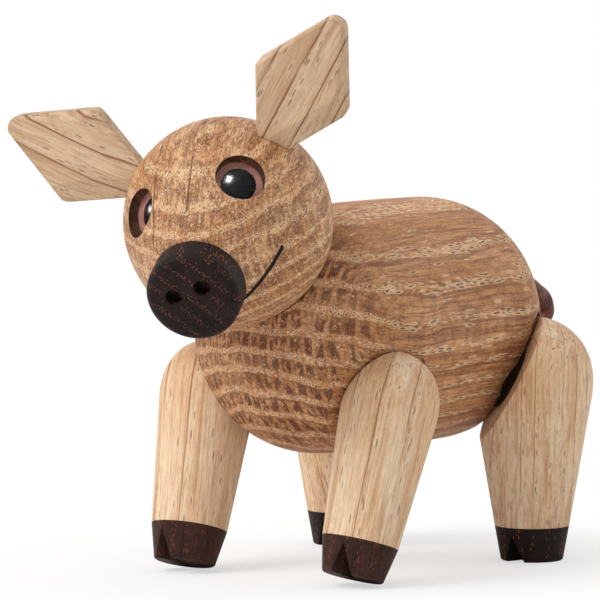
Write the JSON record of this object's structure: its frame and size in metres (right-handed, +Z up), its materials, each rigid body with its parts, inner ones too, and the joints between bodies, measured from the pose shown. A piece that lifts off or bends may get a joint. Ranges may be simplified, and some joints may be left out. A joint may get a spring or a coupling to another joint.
{
  "type": "pig figurine",
  "caption": "Standing wooden pig with a turning head, swinging legs with cloven dark hooves, kite ears, glass eyes and a twisted leather tail.",
  "frame": {"origin": "on the table, under the middle of the whole figure as it stands in the picture", "axes": "+X to the pig's left, -Y the way the body faces, +Z up; the body lies along Y"},
  "size_m": [0.0714, 0.1278, 0.1014],
  "materials": {
    "oak": "waxed oak, medium brown, open pores",
    "pale_oak": "oiled pale wood with brown grain lines",
    "dark_oak": "fumed near-black brown oak with open pores",
    "beech_dowel": "plain beech dowel",
    "nylon": "dark nylon",
    "eye_glass": "clear polished dome",
    "eye_black": "black lacquered disc",
    "eye_brown": "brown lacquered ring",
    "brown_leather": "dark reddish-brown twisted strip"
  },
  "bodies": {
    "trunk": {"body": "oak", "neck_bush": "nylon", "tail": "brown_leather", "left_front_bush": "nylon", "right_front_bush": "nylon", "left_hind_bush": "nylon", "right_hind_bush": "nylon"},
    "head": {"head": "oak", "snout": "dark_oak", "snout_dowel": "beech_dowel", "neck_axle": "beech_dowel", "left_ear": "pale_oak", "left_ear_dowel": "beech_dowel", "left_eye_iris": "eye_brown", "left_eye_pupil": "eye_black", "left_eye_lens": "eye_glass", "right_ear": "pale_oak", "right_ear_dowel": "beech_dowel", "right_eye_iris": "eye_brown", "right_eye_pupil": "eye_black", "right_eye_lens": "eye_glass"},
    "left_front": {"left_front_leg": "pale_oak", "left_front_hoof": "dark_oak", "left_front_hoof_dowel": "beech_dowel", "left_front_axle": "beech_dowel"},
    "right_front": {"right_front_leg": "pale_oak", "right_front_hoof": "dark_oak", "right_front_hoof_dowel": "beech_dowel", "right_front_axle": "beech_dowel"},
    "left_hind": {"left_hind_leg": "pale_oak", "left_hind_hoof": "dark_oak", "left_hind_hoof_dowel": "beech_dowel", "left_hind_axle": "beech_dowel"},
    "right_hind": {"right_hind_leg": "pale_oak", "right_hind_hoof": "dark_oak", "right_hind_hoof_dowel": "beech_dowel", "right_hind_axle": "beech_dowel"}
  },
  "joints": [
    {"name": "head_turn_angle", "type": "hinge", "parent": "trunk", "child": "head", "pos_m": [0.00341, -0.03635, 0.0645], "axis": [0, -0.8121, 0.5835], "continuous": true},
    {"name": "left_front_swing", "type": "hinge", "parent": "trunk", "child": "left_front", "pos_m": [0.0194, -0.01474, 0.03339], "axis": [-0.8245, 0.2209, 0.521], "range_deg": [-70, 90]},
    {"name": "right_front_swing", "type": "hinge", "parent": "trunk", "child": "right_front", "pos_m": [-0.01259, -0.01474, 0.03339], "axis": [-0.8245, -0.2209, -0.521], "range_deg": [-70, 90]},
    {"name": "left_hind_swing", "type": "hinge", "parent": "trunk", "child": "left_hind", "pos_m": [0.02134, 0.02427, 0.03357], "axis": [-0.6545, -0.6103, 0.4462], "range_deg": [-30, 60]},
    {"name": "right_hind_swing", "type": "hinge", "parent": "trunk", "child": "right_hind", "pos_m": [-0.01453, 0.02427, 0.03357], "axis": [-0.6545, 0.6103, -0.4462], "range_deg": [-30, 60]}
  ]
}
